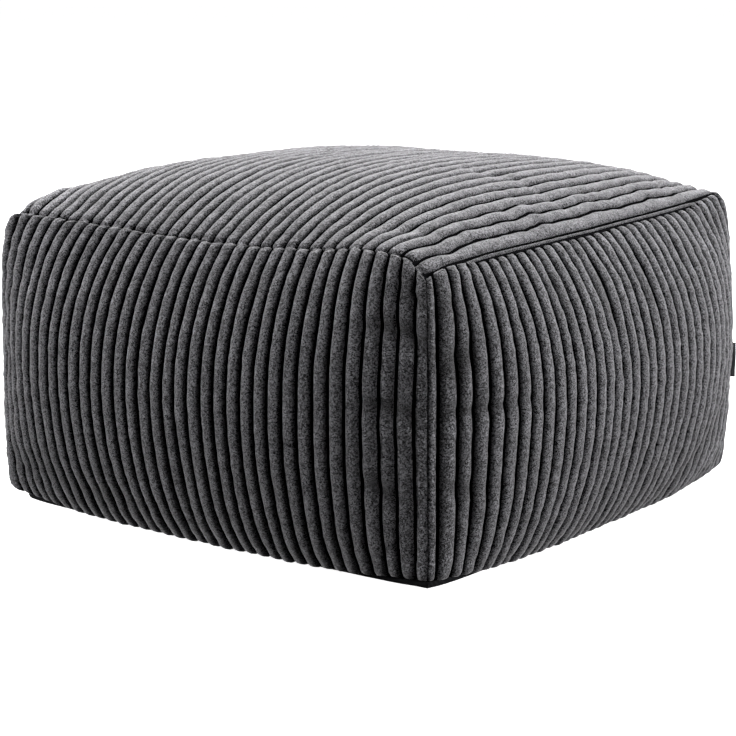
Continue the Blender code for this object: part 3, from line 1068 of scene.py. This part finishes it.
# %% Base finish and piece
BASE_THREADS = 260.0
BASE_DARK = (0.006, 0.006, 0.007)
BASE_LIGHT = (0.020, 0.020, 0.022)


def base_finish():
    material, tree, shader = new_finish("black_base_cloth", 0.85, 0.15)
    place = add_node(tree, "ShaderNodeTexCoord").outputs["Object"]
    across, along = (
        textured(
            tree, "ShaderNodeTexWave", place,
            bands_direction=axis, Scale=BASE_THREADS, Distortion=0.6,
        ).outputs["Fac"]
        for axis in "XY"
    )
    threads = calculated(tree, "MULTIPLY", across, along)
    weave = ramp(tree, threads, 0.1, BASE_DARK, 0.8, BASE_LIGHT)
    link(tree, weave, shader.inputs["Base Color"])
    add_bump(tree, shader, threads, 0.5, 0.0004)
    return material


base = sheet_piece("base_cloth", base_points, base_finish(), BASE_CLOTH, 1.0)
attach(base, "root")
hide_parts("base_panel")
print("the base has", round(sheet_area(base_points), 4), "square metres of cloth")

# %% [markdown]
# ## The label
#
# A short woven tape is folded in half and caught in the corner seam, and only its fold stands
# out. It is left bare. Its middle line is bent round the fold first, then given its thickness.
# Two plates would have sharp ends where the real tape is one soft loop.

# %% Label
LABEL_TAPE = 0.0007
LABEL_TURNS = 9                 # points round the fold
LABEL_STRAIGHT = 7              # and along each half of the tape
LABEL_ROWS = 25
LABEL_TIP = 0.0006              # how far the free fold sags and sways
LABEL_SWAY = 2.5                # half waves of that from its foot to its top
plain_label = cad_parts["side_label"]
label_points = np.array([[v.co.x, v.co.y, v.co.z] for v in plain_label.data.vertices])
label_out = (label_points[:, 0] + label_points[:, 1]) / ROOT_2
label_side = (label_points[:, 1] - label_points[:, 0]) / ROOT_2
LABEL_ROOT = float(label_out.min())
LABEL_FOLD = float(label_out.max())
LABEL_HALF = float(label_side.max()) - LABEL_TAPE / 2.0


def label_grid():
    """The middle line of the folded tape, repeated from its foot to its top."""
    turn = np.linspace(-math.pi / 2.0, math.pi / 2.0, LABEL_TURNS)
    end = LABEL_FOLD - LABEL_TAPE / 2.0 - LABEL_HALF
    straight = np.linspace(LABEL_ROOT, end, LABEL_STRAIGHT + 1)[:-1]
    half = np.full(LABEL_STRAIGHT, LABEL_HALF)
    out = np.concatenate([straight, end + LABEL_HALF * np.cos(turn), straight[::-1]])
    side = np.concatenate([-half, LABEL_HALF * np.sin(turn), half])
    free = LABEL_TIP * (out - LABEL_ROOT) / (LABEL_FOLD - LABEL_ROOT)
    rows = []
    for share in np.linspace(0.0, 1.0, LABEL_ROWS):
        bend = side + free * math.sin(LABEL_SWAY * math.pi * share)
        z = label_low[2] + share * (label_high[2] - label_low[2]) - free
        rows.append(np.column_stack([(out - bend) / ROOT_2, (out + bend) / ROOT_2, z]))
    return np.array(rows)


print("the label stands", round((LABEL_FOLD - LABEL_ROOT) / MM, 1), "mm out of its seam")

# %% Label finish and piece
LABEL_THREADS = 700.0
LABEL_DARK = (0.003, 0.003, 0.004)
LABEL_LIGHT = (0.012, 0.012, 0.014)


def label_finish():
    material, tree, shader = new_finish("black_label_tape", 0.55, 0.3)
    place = add_node(tree, "ShaderNodeTexCoord").outputs["Object"]
    threads = textured(
        tree, "ShaderNodeTexWave", place,
        bands_direction="Z", Scale=LABEL_THREADS, Distortion=0.4,
    ).outputs["Fac"]
    weave = ramp(tree, threads, 0.2, LABEL_DARK, 0.9, LABEL_LIGHT)
    link(tree, weave, shader.inputs["Base Color"])
    add_bump(tree, shader, threads, 0.5, 0.0002)
    return material


tape = label_grid()
label = sheet_piece("label_tape", tape, label_finish(), LABEL_TAPE, 0.0)
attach(label, "root")
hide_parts("side_label")

# %% [markdown]
# ## The studio
#
# The picture is a product shot on white. Three soft lights hang behind the footstool, so its top
# and the edges of the ribs shine. A low light on each side, a higher one on the right and a weak
# one in front are just enough to show the panels, and the near corner stays dark. None of the
# seven is much stronger than the rest, so the cloth looks charcoal from behind too. The floor and
# the backdrop are only seen, and throw no light.

# %% White room
ROOM = 14.0
ROOM_SEGMENTS = 48
FLOOR_GLOW = 0.96
FLOOR_DROP = 0.0004             # the floor lies just under the base
SEEN_ONLY = ("visible_diffuse", "visible_glossy", "visible_transmission", "visible_shadow")


def glowing_white(name, glow):
    material, _, shader = new_finish(name, 0.9, 0.5)
    shader.inputs["Base Color"].default_value = (0.9, 0.9, 0.9, 1.0)
    shader.inputs["Emission Color"].default_value = (1.0, 1.0, 1.0, 1.0)
    shader.inputs["Emission Strength"].default_value = glow
    return material


def white_piece(name, finish, drop, shape, **sizes):
    """A piece that the camera sees but that throws no light on the footstool."""
    mesh = bpy.data.meshes.new(name)
    form = bmesh.new()
    shape(form, radius=ROOM, **sizes)
    form.to_mesh(mesh)
    form.free()
    mesh.materials.append(finish)
    piece = bpy.data.objects.new(name, mesh)
    piece.location.z = -drop
    for ray in SEEN_ONLY:
        setattr(piece, ray, False)
    bpy.context.scene.collection.objects.link(piece)


white_piece(
    "white_backdrop", glowing_white("backdrop", 1.0), 0.0,
    bmesh.ops.create_uvsphere, u_segments=ROOM_SEGMENTS, v_segments=ROOM_SEGMENTS // 2,
)
white_piece(
    "pale_floor", glowing_white("floor_white", FLOOR_GLOW), FLOOR_DROP,
    bmesh.ops.create_circle, cap_ends=True, segments=ROOM_SEGMENTS,
)
print("the white room is", 2 * ROOM, "m wide")

# %% Lights
SKY = 0.045
LIGHTS_AWAY = 2.4
MIDDLE = Vector((0, 0, 0.15))   # what they point at
LIGHTS = (
    # name, degrees round from the camera, degrees up, width m, height m, watts
    ("rear_left_light", -140, 45, 1.2, 1.0, 32.0),
    ("rear_right_light", 140, 45, 1.2, 1.0, 54.0),
    ("rear_high_light", -130, 65, 1.2, 1.0, 41.0),
    ("left_light", -80, 20, 0.8, 1.2, 62.0),
    ("right_light", 80, 20, 0.8, 1.2, 57.0),
    ("right_high_light", 95, 50, 0.8, 1.2, 26.0),
    ("front_light", 50, 12, 0.8, 0.8, 18.0),
)


def area_light(name, place, size, power):
    lamp = bpy.data.lights.new(name, "AREA")
    lamp.shape = "RECTANGLE"
    lamp.size, lamp.size_y = size
    lamp.energy = power
    holder = bpy.data.objects.new(name, lamp)
    holder.location = place
    holder.rotation_euler = (place - MIDDLE).to_track_quat("Z", "Y").to_euler()
    bpy.context.scene.collection.objects.link(holder)


def studio_world(strength):
    world = bpy.data.worlds.new("studio")
    world.use_nodes = True
    air = world.node_tree.nodes["Background"]
    air.inputs["Color"].default_value = (1.0, 1.0, 1.0, 1.0)
    air.inputs["Strength"].default_value = strength
    bpy.context.scene.world = world


studio_world(SKY)
for name, turn, rise, width, height, watts in LIGHTS:
    place = LIGHTS_AWAY * outward(CAMERA_TURN + turn, rise)
    area_light(name, place, (width, height), watts)
bpy.context.scene.view_settings.view_transform = "Standard"
print(len(LIGHTS), "lights")
